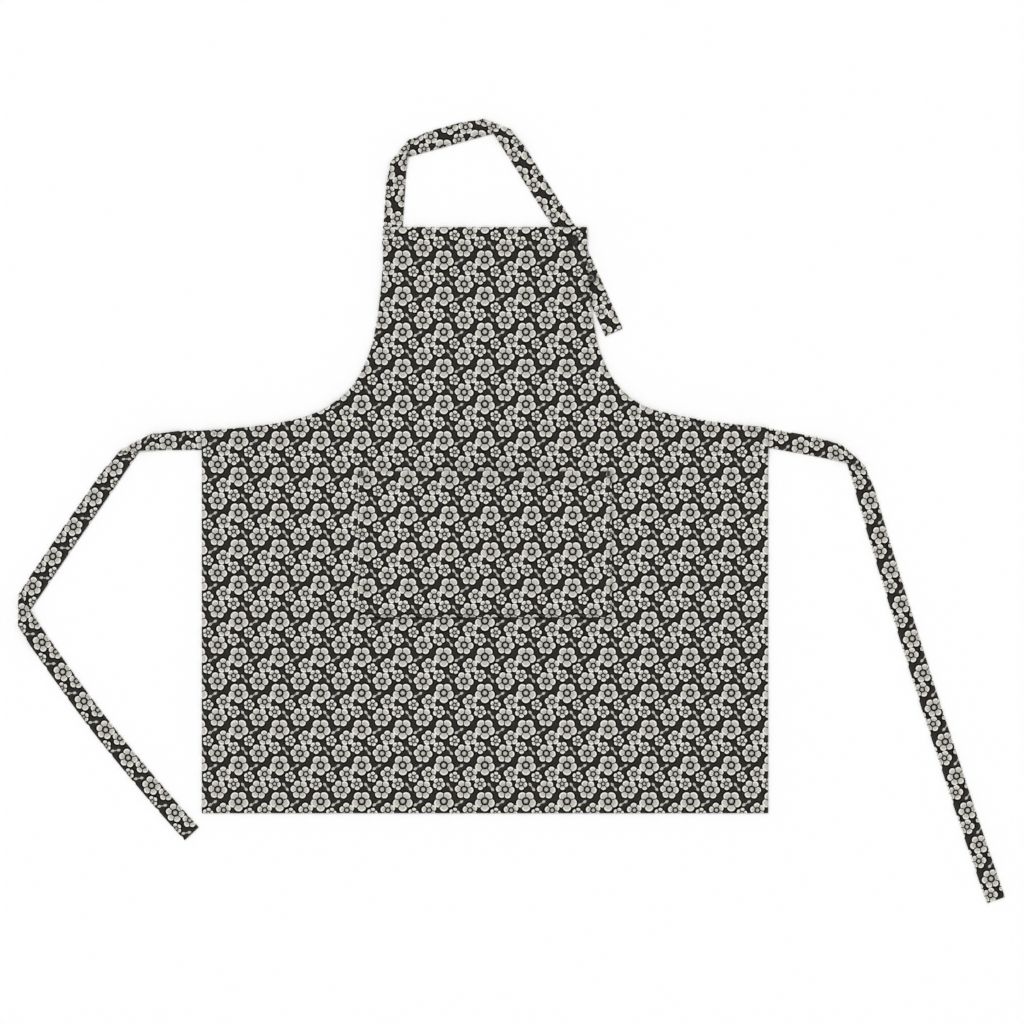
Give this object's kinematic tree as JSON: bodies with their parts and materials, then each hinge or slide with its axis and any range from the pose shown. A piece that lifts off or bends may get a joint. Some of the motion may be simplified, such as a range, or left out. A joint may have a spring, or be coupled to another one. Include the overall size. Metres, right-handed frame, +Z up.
{
  "type": "long apron",
  "caption": "Long bib apron of printed cotton, laid out flat, with a wide patch pocket, a neck strap that buttons at the bib and a waist tie on each side",
  "frame": {"origin": "On the back of the cloth, which is the face it lies on, on the panel's centre line and level with the waist ties", "axes": "+Z points up out of the front of the cloth, +Y runs up to the bib and +X to the side where the neck strap buttons"},
  "size_m": [1.3946, 1.1091, 0.0113],
  "materials": {
    "printed_cotton": "matte plain-weave cotton, charcoal ground with a dense cream blossom print",
    "button_plastic": "dark polished plastic",
    "sewing_thread": "dark cotton thread"
  },
  "bodies": {
    "root": {"apron_panel": "printed_cotton", "pocket": "printed_cotton", "neck_strap": "printed_cotton", "waist_tie_left": "printed_cotton", "waist_tie_right": "printed_cotton", "button_fastened": "button_plastic", "button_fastened_thread": "sewing_thread", "button_spare": "button_plastic", "button_spare_thread": "sewing_thread"}
  },
  "joints": []
}
